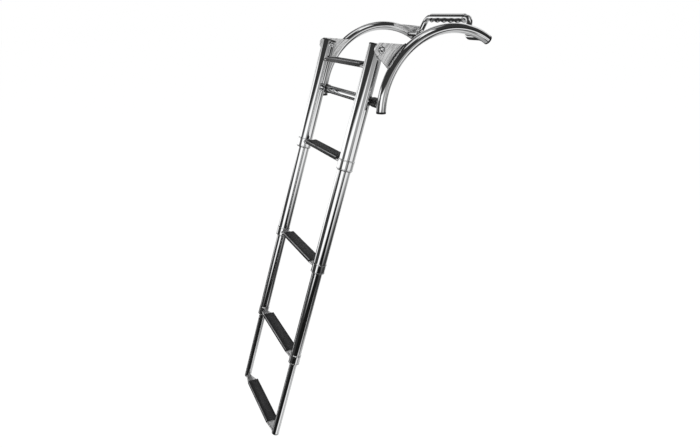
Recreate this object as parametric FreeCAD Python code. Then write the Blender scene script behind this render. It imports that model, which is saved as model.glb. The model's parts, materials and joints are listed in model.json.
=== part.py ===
# Telescopic boarding ladder that hooks over the side tube of an inflatable boat.
# Millimetres. X runs along the boat's tube, +Y is inboard, +Z is up.
# The origin is the crown of the boat's tube, midway between the two hook arches.
import FreeCAD
import Part

import math
import os

V = FreeCAD.Vector
X_AXIS = V(1, 0, 0)

# Hook arches
boat_tube_radius = 186.0
arch_tube_diameter = 24.0
arch_tube_wall = 1.5
arch_outboard_angle = 88.8
arch_inboard_angle = 31.5
arch_side_gap = 5.25
arch_cap_thickness = 3.0
arch_cap_spigot = 10.0

# Lower cross tube and the rubber sleeves that the stiles lean on
cross_tube_angle = 83.0
cross_tube_outset = 1.0
cross_tube_diameter = 22.0
cross_tube_wall = 1.5
cross_tube_cope = 15.0
cross_tube_end_inset = 3.0
bumper_thickness = 1.5
bumper_length = 28.0
bumper_arch_gap = 0.5

# Stiles and their telescoping sections, from the outer tube down
stile_spacing = 300.0
tube_diameters = [40.0, 35.0, 28.0, 20.0]
tube_wall = 1.5
pivot_inboard = -195.0
pivot_height = -36.0
stile_above_pivot = 8.5
collar_depths = [302.5, 583.5, 853.0]
collar_length = 27.0
collar_lip = 0.75
collar_edge = 3.0
stop_ring_length = 10.0
bottom_tread_depth = 1064.5
bottom_tube_below_tread = 11.0
foot_cap_length = 5.0
foot_cap_spigot = 8.0
top_cap_thickness = 3.5
top_cap_edge = 1.2
top_cap_spigot = 3.0

# Treads
top_tread_depth = 34.5
tread_above_collar_end = [28.5, 24.0, 22.0]
tread_forward = 1.2
tread_depth = 32.5
tread_height = 7.5
tread_corner = 3.7
tread_necks = [16.0, 16.0, 16.0, 14.0, 12.0]
tread_neck_drop = 2.0
pad_lengths = [221.0, 221.0, 221.0, 219.0, 207.0]
pad_thickness = 4.0
pad_overhang = 0.5
pad_corner = 1.6
pad_grooves = 8
pad_groove_width = 1.4
pad_groove_depth = 0.9

# Pivot plates and bolts
plate_thickness = 4.5
plate_tube_gap = 4.0
plate_eye_radius = 16.8
plate_up_angle = 36.0
plate_down_angle = 59.5
bolt_diameter = 10.0
bolt_head_diameter = 18.0
bolt_head_height = 4.0
bolt_head_dome = 0.6
bolt_nut_diameter = 17.0
bolt_nut_height = 8.0

# Grab handle over the arches
handle_diameter = 16.0
handle_wall = 1.5
handle_foot_angle = 26.6
handle_foot_inset = 3.0
handle_foot_half = 121.0
handle_grip_half = 107.0
handle_grip_rise = 46.5
handle_grip_forward = 17.0
handle_foot_bend = 20.0
handle_grip_bend = 22.0
grip_length = 168.0
grip_thickness = 2.5
grip_finger_drop = 3.5
grip_fingers = 5
gusset_thickness = 4.0
gusset_arch_angle = 7.3
gusset_arch_offset = 6.0
gusset_leg_rise = 22.0

# Running clearances
slide_clearance = 0.1
seat_clearance = 0.3
bolt_clearance = 0.1

# Worked-out places
tube_radii = [diameter / 2.0 for diameter in tube_diameters]
bore_radii = [radius - tube_wall for radius in tube_radii]
arch_tube_radius = arch_tube_diameter / 2.0
arch_radius = boat_tube_radius + arch_tube_radius
arch_centre = V(0, 0, -boat_tube_radius)
stile_half = stile_spacing / 2.0
collar_radii = [radius + collar_lip for radius in tube_radii[:3]]
arch_half = stile_half + collar_radii[0] + arch_side_gap + arch_tube_radius
pivot = V(0, pivot_inboard, pivot_height)
bumper_radius = cross_tube_diameter / 2.0 + bumper_thickness


def arch_point(angle, x=0.0, radius=arch_radius):
    """Point of the arch at an angle from its top, positive outboard."""
    turn = math.radians(angle)
    return arch_centre + V(x, -radius * math.sin(turn), radius * math.cos(turn))


def arch_tangent(angle):
    """Unit direction of the arch that points outboard and down."""
    turn = math.radians(angle)
    return V(0, -math.cos(turn), -math.sin(turn))


# The stiles lean until they touch the sleeves on the cross tube.
cross_axis = arch_point(cross_tube_angle, radius=arch_radius + cross_tube_outset)
pivot_to_cross = (cross_axis - pivot).Length
cross_offset = tube_radii[0] + bumper_radius + seat_clearance
cross_behind = math.atan2(cross_axis.y - pivot.y, pivot.z - cross_axis.z)
lean = math.asin(cross_offset / pivot_to_cross) - cross_behind
lean_degrees = math.degrees(lean)
down_stile = V(0, -math.sin(lean), -math.cos(lean))

tread_depths = [top_tread_depth]
tread_depths += [end - above for end, above in zip(collar_depths, tread_above_collar_end)]
tread_depths.append(bottom_tread_depth)
bottom_end_depth = bottom_tread_depth + bottom_tube_below_tread


def stile_point(x, depth):
    """Point on a stile's axis, or between the stiles, at a depth along the lean."""
    return V(x, pivot.y, pivot.z) + down_stile * depth


def cylinder(start, end, radius):
    """Solid cylinder between two points."""
    return Part.makeCylinder(radius, (end - start).Length, start, end - start)


def tube(start, end, outer, inner):
    """Round tube between two points."""
    return cylinder(start, end, outer).cut(cylinder(start, end, inner))


def turned(points, x):
    """Solid of revolution about a stile's axis, from (radius, depth) points."""
    local = [V(radius, 0, -depth) for radius, depth in points]
    face = Part.Face(Part.makePolygon(local + local[:1]))
    solid = face.revolve(V(0, 0, 0), V(0, 0, 1), 360)
    solid.rotate(V(0, 0, 0), X_AXIS, -lean_degrees)
    solid.translate(V(x, pivot.y, pivot.z))
    return solid


def export(name, shape):
    """Write one sub-part."""
    os.makedirs("parts", exist_ok=True)
    shape.exportStep("parts/" + name + ".step")


def arch_sweep(start_angle, end_angle, x, outer, inner=0.0):
    """Bent tube that follows the arch between two angles."""
    centre = arch_point(start_angle, x)
    ring = Part.Face(Part.Wire(Part.makeCircle(outer, centre, arch_tangent(start_angle))))
    if inner > 0.0:
        bore = Part.Face(Part.Wire(Part.makeCircle(inner, centre, arch_tangent(start_angle))))
        ring = ring.cut(bore)
    swept = ring.revolve(arch_centre + V(x, 0, 0), X_AXIS, end_angle - start_angle)
    return swept.Solids[0]


def arch_tube(x):
    """One hook arch, ending in its caps."""
    return arch_sweep(arch_outboard_angle, -arch_inboard_angle, x, arch_tube_radius,
                      arch_tube_radius - arch_tube_wall)


def outer_rim(solid, direction):
    """Circular edge of a solid that lies furthest along a direction."""
    return max(solid.Edges, key=lambda edge: edge.CenterOfMass.dot(direction))


def arch_cap(x, angle, outward):
    """Black plug in an arch's end, with its flange outside the tube."""
    end = arch_point(angle, x)
    direction = arch_tangent(angle) * outward
    flange = cylinder(end, end + direction * arch_cap_thickness, arch_tube_radius)
    flange = flange.makeFillet(arch_cap_thickness / 2.0, [outer_rim(flange, direction)])
    inside = arch_tube_radius - arch_tube_wall - slide_clearance
    spigot_end = end + direction * (arch_cap_thickness / 2.0)
    spigot = cylinder(end - direction * arch_cap_spigot, spigot_end, inside)
    return flange.fuse(spigot).removeSplitter()


def cross_tube():
    """Lower cross tube, coped onto the inner sides of both arches."""
    reach = X_AXIS * (arch_half - cross_tube_end_inset)
    radius = cross_tube_diameter / 2.0
    bar = tube(cross_axis - reach, cross_axis + reach, radius, radius - cross_tube_wall)
    for x in (-arch_half, arch_half):
        cope_end = cross_tube_angle - cross_tube_cope
        bar = bar.cut(arch_sweep(arch_outboard_angle, cope_end, x, arch_tube_radius))
    return bar


def bumper(side):
    """Rubber sleeve on the cross tube behind one stile."""
    outer_end = arch_half - arch_tube_radius - bumper_arch_gap
    start = cross_axis + X_AXIS * (side * (outer_end - bumper_length))
    end = cross_axis + X_AXIS * (side * outer_end)
    return tube(start, end, bumper_radius, cross_tube_diameter / 2.0)


def pivot_plate(side):
    """Plate that carries the pivot bolt, welded to the inner side of its arch."""
    outer_x = side * (stile_half + tube_radii[0] + plate_tube_gap + plate_thickness)
    eye = V(outer_x, pivot.y, pivot.z)
    up = arch_point(plate_up_angle, outer_x)
    down = arch_point(plate_down_angle, outer_x)
    up_normal = (up - eye).cross(X_AXIS).normalize() * -plate_eye_radius
    down_normal = (down - eye).cross(X_AXIS).normalize() * plate_eye_radius
    middle = arch_point((plate_up_angle + plate_down_angle) / 2.0, outer_x)
    edges = [
        Part.LineSegment(eye + up_normal, up).toShape(),
        Part.Arc(up, middle, down).toShape(),
        Part.LineSegment(down, eye + down_normal).toShape(),
        Part.Arc(eye + down_normal, eye - V(0, plate_eye_radius, 0), eye + up_normal).toShape(),
    ]
    plate = Part.Face(Part.Wire(edges)).extrude(V(-side * plate_thickness, 0, 0))
    hole = bolt_diameter / 2.0 + bolt_clearance
    bolt_hole = cylinder(V(0, pivot.y, pivot.z), eye + X_AXIS * side, hole)
    seat = arch_sweep(arch_outboard_angle, 0.0, side * arch_half, arch_tube_radius)
    return plate.cut(bolt_hole).cut(seat)


def pivot_bolt(side):
    """Bolt through a plate and the top of its stile, with head outside and nut inside."""
    outward = X_AXIS * side
    plate_face = stile_half + tube_radii[0] + plate_tube_gap + plate_thickness
    head_start = V(side * (plate_face + seat_clearance), pivot.y, pivot.z)
    nut_end = V(side * (stile_half - tube_radii[0]), pivot.y, pivot.z)
    nut_start = nut_end - outward * bolt_nut_height
    shank = cylinder(nut_start, head_start, bolt_diameter / 2.0)
    head = cylinder(head_start, head_start + outward * bolt_head_height, bolt_head_diameter / 2.0)
    head = head.makeFillet(bolt_head_height * bolt_head_dome, [outer_rim(head, outward)])
    nut = cylinder(nut_start, nut_end, bolt_nut_diameter / 2.0)
    return shank.fuse(head).fuse(nut).removeSplitter()


def handle_path():
    """Points of the handle's axis, from the arch on -X to the arch on +X."""
    foot = arch_point(-handle_foot_angle, radius=arch_radius - handle_foot_inset)
    half = [
        foot + X_AXIS * (arch_half - arch_tube_radius / 2.0),
        foot + X_AXIS * handle_foot_half,
        foot + V(handle_grip_half, handle_grip_forward, handle_grip_rise),
    ]
    mirrored = [V(-point.x, point.y, point.z) for point in half]
    return mirrored + half[::-1]


def rounded_wire(points, radii):
    """Straight runs joined by tangent arcs at the inner points."""
    edges = []
    start = points[0]
    for before, corner, after, radius in zip(points, points[1:], points[2:], radii):
        back = (before - corner).normalize()
        ahead = (after - corner).normalize()
        half_angle = back.getAngle(ahead) / 2.0
        reach = radius / math.tan(half_angle)
        towards = (back + ahead).normalize()
        middle = corner + towards * (radius / math.sin(half_angle) - radius)
        edges.append(Part.LineSegment(start, corner + back * reach).toShape())
        edges.append(Part.Arc(corner + back * reach, middle, corner + ahead * reach).toShape())
        start = corner + ahead * reach
    edges.append(Part.LineSegment(start, points[-1]).toShape())
    return Part.Wire(edges)


def handle_sweep(radius):
    """Solid round bar along the handle's axis."""
    points = handle_path()
    bends = [handle_foot_bend, handle_grip_bend, handle_grip_bend, handle_foot_bend]
    ring = Part.Wire(Part.makeCircle(radius, points[0], points[1] - points[0]))
    return rounded_wire(points, bends).makePipeShell([ring], True, True)


def grab_handle():
    """Bent grab tube, coped onto the inner sides of both arches."""
    radius = handle_diameter / 2.0
    handle = handle_sweep(radius).cut(handle_sweep(radius - handle_wall))
    for x in (-arch_half, arch_half):
        handle = handle.cut(arch_sweep(0.0, -arch_inboard_angle, x, arch_tube_radius))
    return handle.Solids[0]


def handle_grip():
    """Finger grip round the straight of the handle, scalloped underneath."""
    points = handle_path()
    middle = (points[2] + points[3]) * 0.5
    half = grip_length / 2.0
    ends = X_AXIS * half
    tube_radius = handle_diameter / 2.0
    radius = tube_radius + grip_thickness
    drop = V(0, 0, -grip_finger_drop)
    body = cylinder(middle - ends, middle + ends, radius)
    body = body.fuse(cylinder(middle - ends + drop, middle + ends + drop, radius)).removeSplitter()
    pitch = grip_length / grip_fingers
    scallop_radius = (pitch * pitch / 4.0 + grip_finger_drop ** 2) / (2.0 * grip_finger_drop)
    across = V(0, radius * 2.0, 0)
    for index in range(grip_fingers):
        centre = middle + V(pitch * (index + 0.5) - half, 0, -radius - scallop_radius)
        body = body.cut(cylinder(centre - across, centre + across, scallop_radius))
    return body.cut(cylinder(middle - ends * 2.0, middle + ends * 2.0, tube_radius))


def handle_gusset(side):
    """Web plate between the side of an arch and the handle's leg above its foot."""
    points = handle_path()
    foot, knee, grip_corner = [V(side * abs(point.x), point.y, point.z) for point in points[:3]]
    leg = (grip_corner - knee).normalize()
    flank = side * (arch_half - arch_tube_radius / 2.0)
    high = arch_point(-gusset_arch_angle, flank, arch_radius + gusset_arch_offset)
    low = arch_point(-handle_foot_angle, flank, arch_radius - handle_foot_inset)
    on_leg = knee + leg * gusset_leg_rise
    normal = (high - low).cross(on_leg - low).normalize() * gusset_thickness
    corners = [point - normal * 0.5 for point in (high, on_leg, knee, low)]
    corners[2] = corners[2] - normal * ((corners[2] - corners[0]).dot(normal) / normal.Length ** 2)
    plate = Part.Face(Part.makePolygon(corners + corners[:1])).extrude(normal)
    seat = arch_sweep(0.0, -arch_inboard_angle, side * arch_half, arch_tube_radius)
    plate = plate.cut(seat).cut(handle_sweep(handle_diameter / 2.0))
    return max(plate.Solids, key=lambda solid: solid.Volume)


def outer_stile(x):
    """Outer tube of one stile, drilled for its pivot bolt."""
    start = -stile_above_pivot
    end = collar_depths[0] - collar_length
    outer = tube_radii[0]
    inner = bore_radii[0]
    shape = turned([(inner, start), (outer, start), (outer, end), (inner, end)], x)
    across = X_AXIS * (outer + 1.0)
    centre = V(x, pivot.y, pivot.z)
    return shape.cut(cylinder(centre - across, centre + across, bolt_diameter / 2.0))


def top_cap(x):
    """Thin black cap on a stile's top."""
    seat = -stile_above_pivot
    top = seat - top_cap_thickness
    outer = tube_radii[0]
    inside = bore_radii[0] - slide_clearance
    points = [
        (0.0, top),
        (outer - top_cap_edge, top),
        (outer, top + top_cap_edge),
        (outer, seat),
        (inside, seat),
        (inside, seat + top_cap_spigot),
        (0.0, seat + top_cap_spigot),
    ]
    return turned(points, x)


def sliding_tube(level, x, end):
    """Inner tube with the ring at its top that stops it in the collar above."""
    stop = collar_depths[level - 1] - collar_length - seat_clearance
    start = stop - stop_ring_length
    ring = bore_radii[level - 1] - slide_clearance
    outer = tube_radii[level]
    inner = bore_radii[level]
    points = [(inner, start), (ring, start), (ring, stop), (outer, stop), (outer, end), (inner, end)]
    return turned(points, x)


def collar(level, x):
    """Ring on a tube's lower end that guides the next tube."""
    end = collar_depths[level]
    start = end - collar_length
    outer = collar_radii[level]
    bore = tube_radii[level + 1] + slide_clearance
    corner = collar_edge * 0.3
    points = [
        (bore, start),
        (outer, start),
        (outer, end - collar_edge),
        (outer - corner, end - corner),
        (outer - collar_edge, end),
        (bore, end),
    ]
    return turned(points, x)


def foot_cap(x):
    """Rounded plug in the lowest tube's end."""
    end = bottom_end_depth
    outer = tube_radii[3]
    inside = bore_radii[3] - slide_clearance
    dome = [(0.0, 1.0), (0.4, 1.0), (0.75, 0.87), (0.95, 0.5), (1.0, 0.0)]
    points = [(0.0, end - foot_cap_spigot), (inside, end - foot_cap_spigot), (inside, end)]
    points += [(outer * width, end + foot_cap_length * share) for share, width in dome]
    return turned(points, x)


def rounded_rectangle(x, centre_y, top_z, width, height, corner):
    """Wire of a rounded rectangle across X."""
    half = width / 2.0
    low_z = top_z - height
    quarter = corner * (1.0 - math.sqrt(0.5))
    edges = []
    corners = [(1, 1, 0, -1), (1, -1, -1, 0), (-1, -1, 0, 1), (-1, 1, 1, 0)]
    ends = []
    for across, up, along_y, along_z in corners:
        corner_y = centre_y + across * half
        corner_z = top_z if up > 0 else low_z
        middle = V(x, corner_y - across * quarter, corner_z - up * quarter)
        if along_y == 0:
            start = V(x, corner_y - across * corner, corner_z)
            end = V(x, corner_y, corner_z - up * corner)
        else:
            start = V(x, corner_y, corner_z - up * corner)
            end = V(x, corner_y - across * corner, corner_z)
        edges.append(Part.Arc(start, middle, end).toShape())
        ends.append((start, end))
    for (first, first_end), (second, second_end) in zip(ends, ends[1:] + ends[:1]):
        edges.append(Part.LineSegment(first_end, second).toShape())
    return Part.Wire(Part.__sortEdges__(edges))


def tread_centre(level):
    """Middle of a tread's top, level with its depth on the stiles."""
    return stile_point(0, tread_depths[level]) + V(0, tread_forward, 0)


def tread_bar(level):
    """Level metal bar between the stiles, necked down to what carries it at each end."""
    centre = tread_centre(level)
    top = centre.z - pad_thickness
    flat_half = pad_lengths[level] / 2.0
    section = (centre.y, top, tread_depth, tread_height, tread_corner)
    bar = Part.Face(rounded_rectangle(-flat_half, *section)).extrude(X_AXIS * pad_lengths[level])
    neck_top = top - tread_neck_drop
    neck_depth = pivot.z - neck_top + tread_height / 2.0
    neck_y = pivot.y - neck_depth * math.tan(lean)
    neck = tread_necks[level]
    for side in (-1.0, 1.0):
        wide = rounded_rectangle(side * flat_half, *section)
        narrow = rounded_rectangle(side * stile_half, neck_y, neck_top, neck, tread_height, tread_corner)
        bar = bar.fuse(Part.makeLoft([wide, narrow], True, True))
    carrier = tread_carrier_radius(level)
    for x in (-stile_half, stile_half):
        above = stile_point(x, tread_depths[level] - tread_depth * 2.0)
        below = stile_point(x, tread_depths[level] + tread_depth * 2.0)
        bar = bar.cut(cylinder(above, below, carrier))
    solids = sorted(bar.Solids, key=lambda solid: solid.Volume)
    return solids[-1].removeSplitter()


def tread_carrier_radius(level):
    """Radius of the stile, collar or tube that a tread's ends are welded to."""
    if level == 0:
        return tube_radii[0]
    if level <= 3:
        return collar_radii[level - 1]
    return tube_radii[3]


def tread_pad(level):
    """Black ribbed pad on a tread bar."""
    centre = tread_centre(level)
    width = tread_depth + 2.0 * pad_overhang
    half = pad_lengths[level] / 2.0
    outline = rounded_rectangle(-half, centre.y, centre.z, width, pad_thickness, pad_corner)
    pad = Part.Face(outline).extrude(X_AXIS * pad_lengths[level])
    pitch = width / (pad_grooves + 1)
    for index in range(pad_grooves):
        y = centre.y - width / 2.0 + pitch * (index + 1) - pad_groove_width / 2.0
        corner = V(-half, y, centre.z - pad_groove_depth)
        groove = Part.makeBox(pad_lengths[level], pad_groove_width, pad_groove_depth * 2.0, corner)
        pad = pad.cut(groove)
    return pad


sides = {"left": -1.0, "right": 1.0}
levels = ["top", "second", "third", "fourth", "bottom"]
sections = ["outer", "second", "third", "bottom"]

for side_name, side in sides.items():
    stile_x = side * stile_half
    arch_x = side * arch_half
    export(side_name + "_arch", arch_tube(arch_x))
    export(side_name + "_arch_lower_cap", arch_cap(arch_x, arch_outboard_angle, 1.0))
    export(side_name + "_arch_tip_cap", arch_cap(arch_x, -arch_inboard_angle, -1.0))
    export(side_name + "_bumper", bumper(side))
    export(side_name + "_pivot_plate", pivot_plate(side))
    export(side_name + "_handle_gusset", handle_gusset(side))
    export(side_name + "_pivot_bolt", pivot_bolt(side))
    export(side_name + "_outer_stile", outer_stile(stile_x))
    export(side_name + "_top_cap", top_cap(stile_x))
    tube_ends = [depth - collar_length for depth in collar_depths[1:]] + [bottom_end_depth]
    for level, end in enumerate(tube_ends, start=1):
        export(side_name + "_" + sections[level] + "_tube", sliding_tube(level, stile_x, end))
    for level in range(3):
        export(side_name + "_" + sections[level] + "_collar", collar(level, stile_x))
    export(side_name + "_foot_cap", foot_cap(stile_x))

export("lower_cross_tube", cross_tube())
export("grab_handle", grab_handle())
export("handle_grip", handle_grip())

for level, name in enumerate(levels):
    export(name + "_tread_bar", tread_bar(level))
    export(name + "_tread_pad", tread_pad(level))
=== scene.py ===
import json
import math

import bmesh
import bpy
from mathutils import Matrix, Vector


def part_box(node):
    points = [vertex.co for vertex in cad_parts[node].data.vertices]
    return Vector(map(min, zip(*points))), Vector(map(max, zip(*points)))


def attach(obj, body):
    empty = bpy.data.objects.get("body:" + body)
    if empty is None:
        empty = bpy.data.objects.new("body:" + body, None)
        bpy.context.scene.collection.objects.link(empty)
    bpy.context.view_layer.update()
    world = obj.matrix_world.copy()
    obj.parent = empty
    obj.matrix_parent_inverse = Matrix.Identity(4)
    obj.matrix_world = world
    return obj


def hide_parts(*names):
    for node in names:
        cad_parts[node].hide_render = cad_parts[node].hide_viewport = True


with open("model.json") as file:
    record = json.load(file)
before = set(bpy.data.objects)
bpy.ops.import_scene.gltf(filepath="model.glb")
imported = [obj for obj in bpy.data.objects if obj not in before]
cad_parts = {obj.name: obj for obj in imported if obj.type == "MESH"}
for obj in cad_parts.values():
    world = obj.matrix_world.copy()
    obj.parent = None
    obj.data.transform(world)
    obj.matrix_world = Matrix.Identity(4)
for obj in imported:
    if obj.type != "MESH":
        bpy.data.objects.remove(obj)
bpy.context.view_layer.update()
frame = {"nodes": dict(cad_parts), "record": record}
nodes = frame["nodes"]
body_nodes = frame["record"]["behaviour"]["bodies"]
node_body = {node: body for body, members in body_nodes.items() for node in members}
node_slot = {row["node"]: row["material_slot"] for row in frame["record"]["subparts"]}

scene = bpy.context.scene
scene.view_settings.view_transform = "Standard"


def new_material(name):
    """Material with an empty node tree apart from its shader and output."""
    material = bpy.data.materials.new(name)
    material.use_nodes = True
    tree = material.node_tree
    shader = tree.nodes["Principled BSDF"]
    return material, tree, shader


def link_noise(tree, scale, detail, stretch=(1.0, 1.0, 1.0)):
    """Noise in object space, stretched by a scale for each axis."""
    coordinates = tree.nodes.new("ShaderNodeTexCoord")
    mapping = tree.nodes.new("ShaderNodeMapping")
    mapping.inputs["Scale"].default_value = stretch
    noise = tree.nodes.new("ShaderNodeTexNoise")
    noise.inputs["Scale"].default_value = scale
    noise.inputs["Detail"].default_value = detail
    tree.links.new(coordinates.outputs["Object"], mapping.inputs["Vector"])
    tree.links.new(mapping.outputs["Vector"], noise.inputs["Vector"])
    return noise


def link_range(tree, source, low, high, socket):
    """Maps a 0 to 1 factor to a range and gives it to a socket."""
    ranged = tree.nodes.new("ShaderNodeMapRange")
    ranged.inputs["To Min"].default_value = low
    ranged.inputs["To Max"].default_value = high
    tree.links.new(source, ranged.inputs["Value"])
    tree.links.new(ranged.outputs["Result"], socket)


def link_bump(tree, shader, source, strength, distance):
    """Bump from a factor."""
    bump = tree.nodes.new("ShaderNodeBump")
    bump.inputs["Strength"].default_value = strength
    bump.inputs["Distance"].default_value = distance
    tree.links.new(source, bump.inputs["Height"])
    tree.links.new(bump.outputs["Normal"], shader.inputs["Normal"])


def math_node(tree, operation, first, second=None, third=None):
    """Math node whose inputs are sockets or plain numbers."""
    node = tree.nodes.new("ShaderNodeMath")
    node.operation = operation
    for socket, value in zip(node.inputs, (first, second, third)):
        if value is None:
            continue
        if isinstance(value, (int, float)):
            socket.default_value = value
        else:
            tree.links.new(value, socket)
    return node.outputs[0]


def smooth_step(tree, value, start, end):
    """0 before start, 1 after end, smooth between them."""
    node = tree.nodes.new("ShaderNodeMapRange")
    node.interpolation_type = "SMOOTHSTEP"
    node.inputs["From Min"].default_value = start
    node.inputs["From Max"].default_value = end
    tree.links.new(value, node.inputs["Value"])
    return node.outputs["Result"]


def polished_steel():
    """Mirror-polished stainless tube with faint haze and polishing waves."""
    material, tree, shader = new_material("polished_steel")
    shader.inputs["Metallic"].default_value = 1.0
    shader.inputs["Base Color"].default_value = (0.84, 0.845, 0.85, 1.0)
    haze = link_noise(tree, 60.0, 6.0)
    link_range(tree, haze.outputs["Fac"], 0.015, 0.055, shader.inputs["Roughness"])
    waves = link_noise(tree, 30.0, 2.0, (1.0, 1.0, 0.2))
    link_bump(tree, shader, waves.outputs["Fac"], 0.06, 0.0006)
    return material


def satin_steel():
    """Ground stainless plate whose scratches follow the arches."""
    material, tree, shader = new_material("satin_steel")
    shader.inputs["Metallic"].default_value = 0.6
    coordinates = tree.nodes.new("ShaderNodeTexCoord")
    parts = tree.nodes.new("ShaderNodeSeparateXYZ")
    tree.links.new(coordinates.outputs["Object"], parts.inputs[0])
    height = math_node(tree, "ADD", parts.outputs["Z"], 0.186)
    across = math_node(tree, "MULTIPLY", parts.outputs["Y"], parts.outputs["Y"])
    reach = math_node(tree, "SQRT", math_node(tree, "ADD", across, math_node(tree, "MULTIPLY", height, height)))
    turn = math_node(tree, "ARCTAN2", parts.outputs["Y"], height)
    polar = tree.nodes.new("ShaderNodeCombineXYZ")
    tree.links.new(math_node(tree, "MULTIPLY", reach, 420.0), polar.inputs[0])
    tree.links.new(math_node(tree, "MULTIPLY", turn, 5.0), polar.inputs[1])
    grain = tree.nodes.new("ShaderNodeTexNoise")
    grain.inputs["Scale"].default_value = 1.0
    grain.inputs["Detail"].default_value = 5.0
    tree.links.new(polar.outputs[0], grain.inputs["Vector"])
    ramp = tree.nodes.new("ShaderNodeValToRGB")
    ramp.color_ramp.elements[0].position = 0.38
    ramp.color_ramp.elements[0].color = (0.38, 0.383, 0.386, 1.0)
    ramp.color_ramp.elements[1].position = 0.58
    ramp.color_ramp.elements[1].color = (0.97, 0.97, 0.97, 1.0)
    tree.links.new(grain.outputs["Fac"], ramp.inputs["Fac"])
    tree.links.new(ramp.outputs["Color"], shader.inputs["Base Color"])
    link_range(tree, grain.outputs["Fac"], 0.24, 0.36, shader.inputs["Roughness"])
    link_bump(tree, shader, grain.outputs["Fac"], 0.12, 0.0003)
    return material


def black_plastic():
    """Moulded plastic with a fine spark-eroded grain."""
    material, tree, shader = new_material("black_plastic")
    shader.inputs["Base Color"].default_value = (0.010, 0.010, 0.0105, 1.0)
    shader.inputs["Specular IOR Level"].default_value = 0.35
    grain = link_noise(tree, 900.0, 3.0)
    link_range(tree, grain.outputs["Fac"], 0.38, 0.55, shader.inputs["Roughness"])
    link_bump(tree, shader, grain.outputs["Fac"], 0.2, 0.0002)
    return material


def black_rubber():
    """Matt rubber with dusty, uneven tone, a painted sheen along the middle of each pad's depth and a painted highlight
    line along its front top edge.
    """
    material, tree, shader = new_material("black_rubber")
    dust = link_noise(tree, 60.0, 6.0, (0.35, 1.0, 1.0))
    place = tree.nodes.new("ShaderNodeTexCoord")
    parts = tree.nodes.new("ShaderNodeSeparateXYZ")
    tree.links.new(place.outputs["Generated"], parts.inputs[0])
    # Painted sheen: the dust tone is lighter along the middle of the pad's depth and darker towards both long edges.
    from_middle = math_node(tree, "ABSOLUTE", math_node(tree, "SUBTRACT", parts.outputs["Y"], 0.56))
    middle = smooth_step(tree, from_middle, 0.42, 0.12)
    dust_and_sheen = math_node(tree, "MULTIPLY", dust.outputs["Fac"], math_node(tree, "ADD", math_node(tree, "MULTIPLY", middle, 0.85), 0.15))
    ramp = tree.nodes.new("ShaderNodeValToRGB")
    ramp.color_ramp.elements[0].color = (0.004, 0.004, 0.0045, 1.0)
    ramp.color_ramp.elements[1].color = (0.040, 0.040, 0.042, 1.0)
    shader.inputs["Specular IOR Level"].default_value = 0.5
    tree.links.new(dust_and_sheen, ramp.inputs["Fac"])
    # Painted highlight: a light grey line along the pad's front top edge, broken up by the dust noise.
    near_edge = smooth_step(tree, parts.outputs["Y"], 0.085, 0.03)
    near_top = smooth_step(tree, parts.outputs["Z"], 0.76, 0.88)
    painted_edge_highlight = math_node(tree, "MULTIPLY", near_edge, near_top)
    painted_edge_highlight = math_node(tree, "MULTIPLY", painted_edge_highlight, smooth_step(tree, dust.outputs["Fac"], 0.2, 0.55))
    edge = tree.nodes.new("ShaderNodeMix")
    edge.data_type = "RGBA"
    edge.inputs[7].default_value = (0.22, 0.22, 0.225, 1.0)
    tree.links.new(painted_edge_highlight, edge.inputs[0])
    tree.links.new(ramp.outputs["Color"], edge.inputs[6])
    tree.links.new(edge.outputs[2], shader.inputs["Base Color"])
    grain = link_noise(tree, 700.0, 3.0)
    link_range(tree, grain.outputs["Fac"], 0.42, 0.58, shader.inputs["Roughness"])
    link_bump(tree, shader, grain.outputs["Fac"], 0.25, 0.0002)
    return material


def painted_shade_weld():
    """Near-black weld bead as painted shade: it stands in for the shadow line along the pivot plates' seams on the
    arches.
    """
    material, tree, shader = new_material("painted_shade_weld")
    shader.inputs["Metallic"].default_value = 0.7
    shader.inputs["Base Color"].default_value = (0.035, 0.035, 0.037, 1.0)
    grain = link_noise(tree, 420.0, 3.0)
    link_range(tree, grain.outputs["Fac"], 0.32, 0.55, shader.inputs["Roughness"])
    link_bump(tree, shader, grain.outputs["Fac"], 0.2, 0.0002)
    return material


def glossy_rubber():
    """Smooth moulded rubber with a clear sheen."""
    material, tree, shader = new_material("glossy_rubber")
    shader.inputs["Base Color"].default_value = (0.012, 0.012, 0.0125, 1.0)
    shader.inputs["Specular IOR Level"].default_value = 0.8
    haze = link_noise(tree, 320.0, 4.0)
    link_range(tree, haze.outputs["Fac"], 0.14, 0.30, shader.inputs["Roughness"])
    link_bump(tree, shader, haze.outputs["Fac"], 0.1, 0.0002)
    return material


def weld_steel():
    """Cleaned weld metal, a little duller than the polished tubes."""
    material, tree, shader = new_material("weld_steel")
    shader.inputs["Metallic"].default_value = 1.0
    shader.inputs["Base Color"].default_value = (0.62, 0.62, 0.63, 1.0)
    grain = link_noise(tree, 500.0, 3.0)
    link_range(tree, grain.outputs["Fac"], 0.16, 0.34, shader.inputs["Roughness"])
    link_bump(tree, shader, grain.outputs["Fac"], 0.2, 0.0002)
    return material


def formed_steel():
    """Flattened and bent tube of the tread bars, polished less than the stiles."""
    material, tree, shader = new_material("formed_steel")
    shader.inputs["Metallic"].default_value = 1.0
    shader.inputs["Base Color"].default_value = (0.90, 0.90, 0.905, 1.0)
    grain = link_noise(tree, 160.0, 5.0, (0.3, 1.0, 1.0))
    link_range(tree, grain.outputs["Fac"], 0.32, 0.50, shader.inputs["Roughness"])
    link_bump(tree, shader, grain.outputs["Fac"], 0.1, 0.0003)
    return material


weld_material = weld_steel()
formed_material = formed_steel()
painted_shade_weld_material = painted_shade_weld()
gloss_material = glossy_rubber()
materials = {
    "polished_steel": polished_steel(),
    "satin_steel": satin_steel(),
    "black_plastic": black_plastic(),
    "black_rubber": black_rubber(),
}

for name, cad in nodes.items():
    cad.data.materials.clear()
    cad.data.materials.append(formed_material if name.endswith("_tread_bar") else materials[node_slot[name]])
    for polygon in cad.data.polygons:
        polygon.material_index = 0


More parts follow.
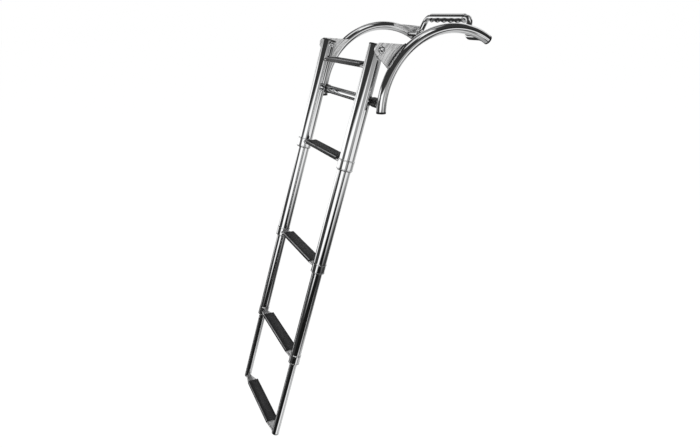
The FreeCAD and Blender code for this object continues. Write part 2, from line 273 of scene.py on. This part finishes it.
# Places read from the frame, in metres.
joints = {joint["name"]: joint for joint in frame["record"]["behaviour"]["joints"]}
pivot = Vector(joints["ladder_swing"]["pos_m"])
up_stile = Vector(joints["second_section_slide"]["axis"]).normalized()
across_stile = Vector((0.0, up_stile.z, -up_stile.y))
arch_low, arch_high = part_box("right_arch")
arch_tube = (arch_high[0] - arch_low[0]) / 2.0
arch_x = (arch_high[0] + arch_low[0]) / 2.0
arch_ring = arch_high[2] - arch_tube
boat_radius = 0.186
arch_radius = boat_radius + arch_tube
arch_centre = Vector((0.0, 0.0, -boat_radius))
stile_x = 0.150
tube_radii = [0.020, 0.0175, 0.014, 0.010]
collar_lip = 0.00075
sections = ["outer", "second", "third", "bottom"]
levels = ["top", "second", "third", "fourth", "bottom"]
level_bodies = ["outer_section", "outer_section", "second_section", "third_section", "bottom_section"]
MILLIMETRE = 0.001


def add_piece(name, vertices, faces, material, slot, body, replaced=None):
    """Smooth-shaded mesh piece that rides on a body."""
    mesh = bpy.data.meshes.new(name)
    mesh.from_pydata([tuple(vertex) for vertex in vertices], [], faces)
    editor = bmesh.new()
    editor.from_mesh(mesh)
    bmesh.ops.recalc_face_normals(editor, faces=editor.faces)
    editor.to_mesh(mesh)
    editor.free()
    for polygon in mesh.polygons:
        polygon.use_smooth = True
    mesh.set_sharp_from_angle(angle=math.radians(38.0))
    piece = bpy.data.objects.new(name, mesh)
    scene.collection.objects.link(piece)
    mesh.materials.append(material)
    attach(piece, body)
    if replaced:
        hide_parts(replaced)
    return piece


def ring_faces(rings, size, closed_path=False):
    """Quads between rings of equal size."""
    faces = []
    last = rings if closed_path else rings - 1
    for ring in range(last):
        after = (ring + 1) % rings
        for side in range(size):
            beside = (side + 1) % size
            faces.append((ring * size + side, ring * size + beside, after * size + beside, after * size + side))
    return faces


def held(profile, hold=0.00012):
    """The same profile with points close to its corners, so that flats stay flat when smooth."""
    points = [profile[0]]
    for (start_along, start_radius), (end_along, end_radius) in zip(profile, profile[1:]):
        length = math.hypot(end_along - start_along, end_radius - start_radius)
        if length > 4.0 * hold:
            for share in (hold / length, 1.0 - hold / length):
                along = start_along + (end_along - start_along) * share
                points.append((along, start_radius + (end_radius - start_radius) * share))
        points.append((end_along, end_radius))
    return points


def lathe(origin, axis, profile, steps=64, shape=None):
    """Rings about an axis from (along, radius) points; shape bends a ring's radius."""
    axis = axis.normalized()
    first = axis.orthogonal().normalized()
    second = axis.cross(first)
    vertices = []
    for index, (along, radius) in enumerate(profile):
        for step in range(steps):
            angle = math.tau * step / steps
            reach = shape(index, angle, radius) if shape else radius
            spoke = first * math.cos(angle) + second * math.sin(angle)
            vertices.append(origin + axis * along + spoke * reach)
    return vertices, ring_faces(len(profile), steps)


def bead_along(points, radius, closed, sides=8, ripple=0.0, ripple_length=0.0016):
    """Round weld bead along a path, with the ripples of its passes."""
    count = len(points)
    vertices = []
    travelled = 0.0
    normal = None
    for index, point in enumerate(points):
        before = points[index - 1] if index or closed else point
        after = points[(index + 1) % count] if index < count - 1 or closed else point
        tangent = (after - before).normalized()
        if normal is None:
            normal = tangent.orthogonal().normalized()
        normal = (normal - tangent * normal.dot(tangent)).normalized()
        side = tangent.cross(normal)
        travelled += (point - before).length if index else 0.0
        size = radius + ripple * math.cos(math.tau * travelled / ripple_length)
        for step in range(sides):
            angle = math.tau * step / sides
            vertices.append(point + (normal * math.cos(angle) + side * math.sin(angle)) * size)
    faces = ring_faces(count, sides, closed)
    if not closed:
        faces.append(tuple(range(sides)))
        faces.append(tuple(range((count - 1) * sides, count * sides)))
    return vertices, faces


def join_parts(parts):
    """One vertex and face list from several."""
    vertices, faces = [], []
    for part_vertices, part_faces in parts:
        offset = len(vertices)
        vertices += part_vertices
        faces += [tuple(index + offset for index in face) for face in part_faces]
    return vertices, faces


def rounded_outline(width, height, corner, per_corner=7, per_side=12):
    """Points round a rounded rectangle centred on zero."""
    corners = []
    half_width, half_height = width / 2.0 - corner, height / 2.0 - corner
    for quarter in range(4):
        sign_y = 1 if quarter in (0, 3) else -1
        sign_z = 1 if quarter in (0, 1) else -1
        arc = []
        for step in range(per_corner):
            angle = math.pi / 2.0 * (quarter + step / (per_corner - 1))
            arc.append((sign_y * half_width + corner * math.cos(angle), sign_z * half_height + corner * math.sin(angle)))
        corners.append(arc)
    points = []
    for arc, following in zip(corners, corners[1:] + corners[:1]):
        points += arc
        (start_y, start_z), (end_y, end_z) = arc[-1], following[0]
        for step in range(1, per_side):
            share = step / per_side
            points.append((start_y + (end_y - start_y) * share, start_z + (end_z - start_z) * share))
    return points


def arch_offset(y, z):
    """How far a point lies outside the arch's centre line, seen along X."""
    return math.hypot(y - arch_centre.y, z - arch_centre.z) - arch_radius


def on_arch_flank(y, z, side, lift=0.0):
    """Point on the inner flank of an arch at a height and reach."""
    offset = arch_offset(y, z)
    depth = math.sqrt(max(arch_tube ** 2 - offset ** 2, 0.0))
    return Vector((side * (arch_x - depth - lift), y, z))


def on_stile_flank(y, z, side, radius):
    """Point on the inner flank of a stile's tube."""
    offset = (Vector((0.0, y, z)) - pivot).dot(across_stile)
    depth = math.sqrt(max(radius ** 2 - offset ** 2, 0.0))
    return Vector((side * (stile_x - depth), y, z))


tread_bar_height = 0.0075
tread_bar_corner = 0.0037
tread_neck_drop = 0.002
tread_necks = [0.016, 0.016, 0.016, 0.014, 0.012]
tread_carriers = [tube_radii[0]] + [radius + collar_lip for radius in tube_radii[:3]] + [tube_radii[3]]


def tread_seam(level, side):
    """Path round a tread's neck where it meets its carrier."""
    low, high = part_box(levels[level] + "_tread_pad")
    flat_half = high[0]
    centre_y = (low[1] + high[1]) / 2.0
    top = low[2]
    width = (high[1] - low[1]) - 0.001
    neck_z = top - tread_neck_drop - tread_bar_height / 2.0
    neck_y = pivot.y + (neck_z - pivot.z) * up_stile.y / up_stile.z
    path = []
    for index in range(len(rounded_outline(width, tread_bar_height, tread_bar_corner))):
        x = stile_x - tread_carriers[level]
        for _ in range(5):
            share = (x - flat_half) / (stile_x - flat_half)
            section = width + (tread_necks[level] - width) * share
            y, z = rounded_outline(section, tread_bar_height, tread_bar_corner)[index]
            y += centre_y + (neck_y - centre_y) * share
            z += top - tread_bar_height / 2.0 - tread_neck_drop * share
            spot = on_stile_flank(y, z, 1.0, tread_carriers[level])
            x = spot.x
        path.append(Vector((side * spot.x, spot.y, spot.z)))
    return path


def evened(path, step, closed):
    """The same path with even steps."""
    ring = path + path[:1] if closed else path
    lengths = [(after - before).length for before, after in zip(ring, ring[1:])]
    total = sum(lengths)
    count = max(4, round(total / step))
    marks = [total * index / count for index in range(count if closed else count + 1)]
    points = []
    start = 0.0
    index = 0
    for mark in marks:
        while index < len(lengths) - 1 and start + lengths[index] < mark:
            start += lengths[index]
            index += 1
        share = (mark - start) / lengths[index] if lengths[index] else 0.0
        points.append(ring[index].lerp(ring[index + 1], min(max(share, 0.0), 1.0)))
    return points


bead_radius = 0.0011
bead_step = 0.0004
bead_ripple = 0.00018


def weld(path, closed=True, radius=bead_radius):
    """Weld bead mesh along a seam."""
    return bead_along(evened(path, bead_step, closed), radius, closed, ripple=bead_ripple)


def add_tread_welds():
    """Beads where the treads' necks meet the stiles, collars and lowest tubes."""
    for level, name in enumerate(levels):
        beads = [weld(tread_seam(level, side)) for side in (-1.0, 1.0)]
        add_piece(name + "_tread_welds", *join_parts(beads), weld_material, "satin_steel", level_bodies[level])


def circle_seam(centre_y, centre_z, radius, side):
    """Path where a level tube meets the flank of an arch."""
    path = []
    for step in range(60):
        angle = math.tau * step / 60
        path.append(on_arch_flank(centre_y + radius * math.cos(angle), centre_z + radius * math.sin(angle), side))
    return path


def add_frame_welds():
    """Beads of the cross tube, the handle's feet and the pivot plates on the arches."""
    low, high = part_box("lower_cross_tube")
    cross = ((low[1] + high[1]) / 2.0, (low[2] + high[2]) / 2.0, (high[2] - low[2]) / 2.0)
    beads = [weld(circle_seam(*cross, side)) for side in (-1.0, 1.0)]
    add_piece("cross_tube_welds", *join_parts(beads), weld_material, "satin_steel", "hook_frame")
    foot_angle = math.radians(26.6)
    foot_radius = arch_radius - 0.003
    foot = arch_centre + Vector((0.0, foot_radius * math.sin(foot_angle), foot_radius * math.cos(foot_angle)))
    beads = [weld(circle_seam(foot.y, foot.z, 0.008, side)) for side in (-1.0, 1.0)]
    add_piece("handle_welds", *join_parts(beads), weld_material, "satin_steel", "hook_frame")
    plate_low, plate_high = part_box("right_pivot_plate")
    outer_x = plate_high[0]
    offset = math.sqrt(arch_tube ** 2 - (arch_x - outer_x) ** 2)
    beads = []
    for side in (-1.0, 1.0):
        path = []
        for step in range(40):
            angle = math.radians(38.6 + (57.3 - 38.6) * step / 39)
            reach = arch_radius + offset + 0.0018
            place = Vector((side * (outer_x + 0.0006), 0.0, arch_centre.z))
            path.append(place + Vector((0.0, -reach * math.sin(angle), reach * math.cos(angle))))
        beads.append(weld(path, closed=False, radius=0.0030))
    # Painted shade: the plate beads are wide and near black to give the shadow line where each plate meets its arch.
    add_piece("plate_shade_welds", *join_parts(beads), painted_shade_weld_material, "satin_steel", "hook_frame")


pad_thickness = 0.004
pad_grooves = 8
pad_groove_depth = 0.0009
pad_groove_share = 0.42
pad_side_corner = 0.0017
pad_skirt_depth = 0.0095
pad_skirt_width = 0.0018


def pad_profile(low_y, high_y, top, inset):
    """Cross-section of a pad: rounded ribs above and a skirt down each long side of the bar."""
    width = high_y - low_y
    pitch = width / (pad_grooves + 1)
    inner_low, inner_high = low_y + pad_skirt_width, high_y - pad_skirt_width
    points = [(inner_low, top - pad_thickness - 0.002), (inner_low, top - pad_skirt_depth),
              (low_y + inset + 0.0004, top - pad_skirt_depth), (low_y + inset, top - pad_skirt_depth + 0.0004),
              (low_y + inset, top - pad_side_corner - inset)]
    samples = 270
    for index in range(samples + 1):
        y = low_y + width * index / samples
        from_edge = min(y - low_y, high_y - y)
        z = top - inset
        if from_edge < pad_side_corner:
            sunk = pad_side_corner - math.sqrt(max(pad_side_corner ** 2 - (pad_side_corner - from_edge) ** 2, 0.0))
            z -= sunk
        phase = (y - low_y) / pitch
        nearest = round(phase)
        if 1 <= nearest <= pad_grooves:
            away = abs(phase - nearest) / (pad_groove_share / 2.0)
            if away < 1.0:
                z -= pad_groove_depth * (0.5 + 0.5 * math.cos(math.pi * away)) ** 0.6
        y = min(max(y, low_y + inset), high_y - inset)
        points.append((y, z))
    points += [(high_y - inset, top - pad_side_corner - inset), (high_y - inset, top - pad_skirt_depth + 0.0004),
               (high_y - inset - 0.0004, top - pad_skirt_depth), (inner_high, top - pad_skirt_depth),
               (inner_high, top - pad_thickness - 0.002)]
    return points


def add_pads():
    """Ribbed rubber pads with rounded ribs and eased ends."""
    for level, name in enumerate(levels):
        low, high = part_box(name + "_tread_pad")
        ease = 0.0009
        rows = [(0.0, ease), (0.3 * ease, 0.3 * ease), (ease, 0.0)]
        stations = [(low[0] + along, inset) for along, inset in rows]
        stations += [(high[0] - along, inset) for along, inset in rows[::-1]]
        vertices = []
        for x, inset in stations:
            profile = pad_profile(low[1], high[1], high[2], inset)
            vertices += [Vector((x, y, z)) for y, z in profile]
        size = len(profile)
        faces = ring_faces(len(stations), size)
        faces.append(tuple(range(size)))
        faces.append(tuple(range((len(stations) - 1) * size, len(stations) * size)))
        add_piece(name + "_tread_ribs", vertices, faces, materials["black_rubber"], "black_rubber",
                  level_bodies[level], name + "_tread_pad")


def add_bumpers():
    """Glossy moulded sleeves with rounded ends and three grooves."""
    low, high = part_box("right_bumper")
    centre = Vector((0.0, (low[1] + high[1]) / 2.0, (low[2] + high[2]) / 2.0))
    radius = (high[2] - low[2]) / 2.0
    bore = radius - 0.0014
    start, end = low[0], high[0]
    profile = [(start, bore), (start, radius - 0.0009), (start + 0.0003, radius - 0.0003), (start + 0.0009, radius)]
    for groove in (0.28, 0.5, 0.72):
        middle = start + (end - start) * groove
        for away, depth in ((-1.6, 0.0), (-1.1, 0.25), (-0.6, 0.75), (0.0, 0.95), (0.6, 0.75), (1.1, 0.25), (1.6, 0.0)):
            profile.append((middle + away * 0.001, radius - depth * 0.001))
    profile += [(end - 0.0009, radius), (end - 0.0003, radius - 0.0003), (end, radius - 0.0009), (end, bore),
                (start, bore)]
    for side_name, side in (("left", -1.0), ("right", 1.0)):
        sleeve = lathe(centre, Vector((side, 0.0, 0.0)), profile, 72)
        add_piece(side_name + "_bumper_sleeve", *sleeve, gloss_material, "black_rubber", "hook_frame",
                  side_name + "_bumper")


def add_arch_caps():
    """Push-on end caps with rounded faces and a thin skirt over the arch's tube."""
    for side_name, side in (("left", -1.0), ("right", 1.0)):
        for end_name, degrees, turn in (("lower", -88.8, -1.0), ("tip", 31.5, 1.0)):
            angle = math.radians(degrees)
            mouth = Vector((side * arch_x, arch_radius * math.sin(angle), arch_centre.z + arch_radius * math.cos(angle)))
            out = Vector((0.0, math.cos(angle), -math.sin(angle))) * turn
            radius = arch_tube + 0.00012
            profile = [(-0.0022, arch_tube - 0.0002), (-0.0022, radius), (0.0016, radius)]
            for step in range(1, 8):
                bend = math.pi / 2.0 * step / 8
                profile.append((0.0016 + 0.0014 * math.sin(bend), radius - 0.0016 + 0.0016 * math.cos(bend)))
            profile += [(0.0030, radius - 0.0016), (0.0030, 0.0045), (0.0024, 0.0035), (0.0024, 0.0001)]
            add_piece(side_name + "_arch_" + end_name + "_plug", *lathe(mouth, out, profile, 64),
                      materials["black_plastic"], "black_plastic", "hook_frame", side_name + "_arch_" + end_name + "_cap")


def hexagon(apothem, angle):
    """Radius of a hexagon at an angle."""
    sixth = math.pi / 3.0
    return apothem / math.cos(angle % sixth - sixth / 2.0)


def add_bolts():
    """Button-head pivot bolts with hexagon sockets and lock nuts."""
    for side_name, side in (("left", -1.0), ("right", 1.0)):
        low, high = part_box(side_name + "_pivot_bolt")
        tip = high[0] if side > 0 else -low[0]
        nut_end = low[0] if side > 0 else -high[0]
        head = 0.004
        head_radius = 0.009
        profile = [(tip - head, 0.005), (tip - head, head_radius - 0.0002), (tip - head + 0.0003, head_radius),
                   (tip - head + 0.0010, head_radius)]
        for step in range(1, 9):
            turn = math.pi / 2.0 * step / 9
            profile.append((tip - head + 0.0010 + (head - 0.0010) * math.sin(turn),
                            0.0050 + (head_radius - 0.0050) * math.cos(turn)))
        profile += [(tip, 0.0046), (tip - 0.0003, 0.0034), (tip - 0.0004, 0.0030), (tip - 0.0024, 0.0030), (tip - 0.0028, 0.0001)]
        hex_from = len(profile) - 3

        def socket(index, angle, radius, first=hex_from, last=len(profile) - 2):
            return hexagon(radius, angle) if first <= index <= last else radius

        axis = Vector((side, 0.0, 0.0))
        origin = Vector((0.0, pivot.y, pivot.z))
        head_part = lathe(origin, axis, profile, 72, socket)
        shank = lathe(origin, axis, [(nut_end + 0.001, 0.0049), (tip - head + 0.0002, 0.0049)], 32)
        nut_profile = [(nut_end, 0.0045), (nut_end, 0.0058), (nut_end + 0.0005, 0.0064), (nut_end + 0.0018, 0.0064),
                       (nut_end + 0.0018, 0.0066), (nut_end + 0.0024, 0.00735), (nut_end + 0.0076, 0.00735),
                       (nut_end + 0.0080, 0.0069), (nut_end + 0.0080, 0.0050)]

        def flats(index, angle, radius):
            return min(hexagon(radius, angle), 0.0084) if 5 <= index <= 6 else radius

        nut = lathe(origin, axis, nut_profile, 72, flats)
        end = lathe(origin, axis, [(nut_end + 0.0006, 0.0001), (nut_end + 0.0006, 0.0040), (nut_end + 0.0010, 0.0046)], 32)
        add_piece(side_name + "_socket_bolt", *join_parts([head_part, shank, nut, end]), materials["polished_steel"],
                  "polished_steel", "outer_section", side_name + "_pivot_bolt")
        washer = lathe(origin, axis, held([(0.1703, 0.0053), (0.1703, 0.0094), (0.1707, 0.0098), (0.1733, 0.0098),
                                           (0.1737, 0.0094), (0.1737, 0.0053), (0.1703, 0.0053)]), 48)
        add_piece(side_name + "_pivot_washer", *washer, materials["black_plastic"], "black_plastic", "outer_section")


def add_grip():
    """Hand grip whose underside rises and falls under the fingers."""
    low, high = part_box("handle_grip")
    radius = 0.0105
    drop = 0.0035
    fingers = 5
    half = high[0]
    pitch = 2.0 * half / fingers
    centre_y = (low[1] + high[1]) / 2.0
    centre_z = high[2] - radius
    end_run = 0.0026
    stations = [-half, -half + 0.0003, -half + 0.0010, -half + end_run]
    inner = 150
    stations += [-half + end_run + (2.0 * half - 2.0 * end_run) * step / inner for step in range(1, inner)]
    stations += [half - end_run, half - 0.0010, half - 0.0003, half]
    steps = 48
    vertices = []
    for x in stations:
        from_end = half - abs(x)
        ease = 0.0
        if from_end < end_run:
            share = 1.0 - from_end / end_run
            ease = (1.0 - math.sqrt(1.0 - share ** 2)) * 0.0022
        ridge = 0.5 - 0.5 * math.cos(math.tau * ((x + half) / pitch - 0.5))
        for step in range(steps):
            angle = math.tau * step / steps
            reach = radius - ease
            y = centre_y + reach * math.cos(angle)
            z = centre_z + reach * math.sin(angle)
            below = max(0.0, -math.sin(angle))
            z -= below ** 0.7 * max(drop * ridge - ease, 0.0)
            vertices.append(Vector((x, y, z)))
    faces = ring_faces(len(stations), steps)
    count = len(stations)
    for ring, x in ((0, -half), (count - 1, half)):
        start = len(vertices)
        for step in range(steps):
            angle = math.tau * step / steps
            vertices.append(Vector((x, centre_y + 0.0081 * math.cos(angle), centre_z + 0.0081 * math.sin(angle))))
        for step in range(steps):
            beside = (step + 1) % steps
            faces.append((ring * steps + step, ring * steps + beside, start + beside, start + step))
    add_piece("finger_grip", vertices, faces, materials["polished_steel"], "polished_steel", "hook_frame", "handle_grip")


def add_collars():
    """Turned collars with a bead at each edge, and black bush rings in their lower ends as painted shade for the shadow
    line under each collar.
    """
    for index in range(3):
        body = sections[index] + "_section"
        outer = tube_radii[index] + collar_lip
        bore = tube_radii[index + 1] + 0.0001
        for side_name, side in (("left", -1.0), ("right", 1.0)):
            node = side_name + "_" + sections[index] + "_collar"
            start, end = collar_span(node, outer)
            lip = outer + 0.0005
            profile = [(start, bore), (start, tube_radii[index] + 0.00005), (start - 0.0013, lip),
                       (start - 0.0020, lip), (start - 0.0026, outer - 0.0003), (start - 0.0034, outer - 0.0003),
                       (start - 0.0038, outer), (end + 0.0038, outer), (end + 0.0034, outer - 0.0003),
                       (end + 0.0026, outer - 0.0003), (end + 0.0020, lip), (end + 0.0013, lip),
                       (end + 0.0004, outer - 0.0006), (end, outer - 0.0021)]
            profile += [(end, bore + 0.0012), (end + 0.0004, bore + 0.0010), (end + 0.0004, bore), (start, bore)]
            origin = Vector((side * stile_x, pivot.y, pivot.z))
            add_piece(side_name + "_" + sections[index] + "_turned_collar", *lathe(origin, up_stile, held(profile), 96),
                      materials["polished_steel"], "polished_steel", body, node)
            # Painted shade: the black bush ring gives the dark shadow line at the collar's lower end.
            shade_bush = [(end + 0.002, bore + 0.0001), (end + 0.002, bore + 0.0009), (end - 0.0012, bore + 0.0009),
                    (end - 0.0016, bore + 0.0005), (end - 0.0016, bore + 0.0001), (end + 0.002, bore + 0.0001)]
            add_piece(side_name + "_" + sections[index] + "_bush", *lathe(origin, up_stile, held(shade_bush), 96),
                      materials["black_plastic"], "black_plastic", body)


def collar_span(node, outer):
    """Where a collar starts and ends along the stile, from its box."""
    low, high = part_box(node)
    tilt = outer * up_stile.y
    start = (high[2] - pivot.z - tilt) / up_stile.z
    length = 0.027
    return start, start - length


add_tread_welds()
add_frame_welds()
add_pads()
add_bumpers()
add_arch_caps()
add_bolts()
add_grip()
add_collars()


# Studio cards seen in the polished metal: centre and half width in azimuth, lowest and
# highest elevation, in degrees, and brightness. A later card covers an earlier one.
studio_cards = {
    "upper wall": (0, 180, 10, 67, 0.04),
    "left softbox": (-145, 35, -25, 16, 1.30),
    "left flag": (-100, 30, -55, 5, 0.05),
    "key softbox": (-47, 21, -15, 11, 1.20),
    "front floor": (-32, 54, -60, -7, 0.01),
    "left wedge": (-150, 15, -27, -8, 0.04),
    "right softbox": (34, 24, -21, -4, 0.95),
    "right low flag": (80, 65, -39, -26, 0.05),
    "right flag": (47, 20, -11, 20, 0.02),
    "side flag": (73, 9, -22, 5, 0.06),
    "back right box": (132, 22, -50, -18, 0.82),
    "key gap": (-83, 16, -15, 10, 0.04),
    "back floor": (180, 34, -46, -13, 0.03),
    "back right band": (133, 38, 21, 44, 0.92),
    "floor line": (-10, 40, -42, -30, 1.00),
    "back left haze": (-165, 27, 7, 22, 0.28),
    "right floor": (70, 20, -77, -42, 0.72),
    "right lamp": (114, 10, 13, 22, 1.15),
    "ceiling strip": (15, 12, 46, 70, 1.20),
    "ceiling": (-40, 60, 66, 100, 0.90),
}
card_softness = 5.0
studio_base = 0.37
studio_level = 1.0


def studio_brightness(tree):
    """Brightness of the studio in each direction, from its cards."""
    coordinates = tree.nodes.new("ShaderNodeTexCoord")
    parts = tree.nodes.new("ShaderNodeSeparateXYZ")
    tree.links.new(coordinates.outputs["Generated"], parts.inputs[0])
    elevation = math_node(tree, "ARCSINE", parts.outputs["Z"])
    elevation = math_node(tree, "MULTIPLY", elevation, math.degrees(1.0))
    azimuth = math_node(tree, "ARCTAN2", parts.outputs["Y"], parts.outputs["X"])
    azimuth = math_node(tree, "MULTIPLY", azimuth, math.degrees(1.0))
    brightness = None
    soft = card_softness
    for centre, half, low, high, level in studio_cards.values():
        above = smooth_step(tree, elevation, low - soft / 2, low + soft / 2)
        below = smooth_step(tree, elevation, high + soft / 2, high - soft / 2)
        cover = math_node(tree, "MULTIPLY", above, below)
        if half < 180:
            turned = math_node(tree, "SUBTRACT", azimuth, float(centre))
            turned = math_node(tree, "WRAP", turned, 180.0, -180.0)
            away = math_node(tree, "ABSOLUTE", turned)
            beside = smooth_step(tree, away, half + soft / 2, half - soft / 2)
            cover = math_node(tree, "MULTIPLY", cover, beside)
        previous = studio_base if brightness is None else brightness
        change = math_node(tree, "SUBTRACT", float(level), previous)
        step = math_node(tree, "MULTIPLY", change, cover)
        brightness = math_node(tree, "ADD", step, previous)
    return brightness


def add_world():
    """White for the camera, plain for matt faces, and studio cards for the polished metal."""
    world = bpy.data.worlds.new("studio")
    scene.world = world
    world.use_nodes = True
    tree = world.node_tree
    plain = tree.nodes["Background"]
    plain.inputs["Color"].default_value = (1.0, 1.0, 1.0, 1.0)
    plain.inputs["Strength"].default_value = 0.85
    white = tree.nodes.new("ShaderNodeBackground")
    white.inputs["Color"].default_value = (1.0, 1.0, 1.0, 1.0)
    white.inputs["Strength"].default_value = 1.0
    cards = tree.nodes.new("ShaderNodeBackground")
    cards.inputs["Color"].default_value = (1.0, 1.0, 1.0, 1.0)
    strength = math_node(tree, "MULTIPLY", studio_brightness(tree), studio_level)
    tree.links.new(strength, cards.inputs["Strength"])
    paths = tree.nodes.new("ShaderNodeLightPath")
    gloss = tree.nodes.new("ShaderNodeMixShader")
    tree.links.new(paths.outputs["Is Glossy Ray"], gloss.inputs[0])
    tree.links.new(plain.outputs[0], gloss.inputs[1])
    tree.links.new(cards.outputs[0], gloss.inputs[2])
    seen = tree.nodes.new("ShaderNodeMixShader")
    tree.links.new(paths.outputs["Is Camera Ray"], seen.inputs[0])
    tree.links.new(gloss.outputs[0], seen.inputs[1])
    tree.links.new(white.outputs[0], seen.inputs[2])
    tree.links.new(seen.outputs[0], tree.nodes["World Output"].inputs["Surface"])


def add_floor(height):
    """Pale floor that shows as white and keeps a faint soft shadow."""
    mesh = bpy.data.meshes.new("floor")
    reach = 30.0
    corners = [(-reach, -reach, height), (reach, -reach, height), (reach, reach, height), (-reach, reach, height)]
    mesh.from_pydata(corners, [], [(0, 1, 2, 3)])
    floor = bpy.data.objects.new("floor", mesh)
    scene.collection.objects.link(floor)
    material, tree, shader = new_material("floor")
    shader.inputs["Base Color"].default_value = (0.9, 0.9, 0.9, 1.0)
    shader.inputs["Roughness"].default_value = 1.0
    shader.inputs["Specular IOR Level"].default_value = 0.0
    glow = tree.nodes.new("ShaderNodeEmission")
    glow.inputs["Strength"].default_value = 1.06
    mix = tree.nodes.new("ShaderNodeMixShader")
    paths = tree.nodes.new("ShaderNodeLightPath")
    share = math_node(tree, "MULTIPLY", paths.outputs["Is Camera Ray"], 0.8)
    tree.links.new(share, mix.inputs[0])
    tree.links.new(shader.outputs[0], mix.inputs[1])
    tree.links.new(glow.outputs[0], mix.inputs[2])
    tree.links.new(mix.outputs[0], tree.nodes["Material Output"].inputs["Surface"])
    mesh.materials.append(material)
    floor.visible_glossy = False
    return floor


def add_area(name, place, target, size, watts):
    """Soft square lamp aimed at a point."""
    light = bpy.data.lights.new(name, "AREA")
    light.energy = watts
    light.size = size
    lamp = bpy.data.objects.new(name, light)
    lamp.location = place
    lamp.rotation_euler = (Vector(target) - Vector(place)).to_track_quat("-Z", "Y").to_euler()
    lamp.visible_glossy = False
    scene.collection.objects.link(lamp)


add_world()
add_floor(-1.25)
add_area("key", (2.0, -2.0, 2.0), (0, -0.2, -0.4), 2.0, 60.0)

camera_yaw = 0.4259
camera_pitch = 0.3536
camera_place = Vector((1.42416, -0.84187, 0.04212))
camera_lens = 29.147
camera = bpy.data.objects.new("camera", bpy.data.cameras.new("camera"))
scene.collection.objects.link(camera)
forward = Vector((-math.cos(camera_yaw) * math.cos(camera_pitch),
                  math.sin(camera_yaw) * math.cos(camera_pitch), -math.sin(camera_pitch)))
camera.data.lens = camera_lens
camera.data.sensor_width = 36.0
camera.location = camera_place
camera.rotation_euler = forward.to_track_quat("-Z", "Y").to_euler()
camera.data.clip_start = 0.05
scene.camera = camera
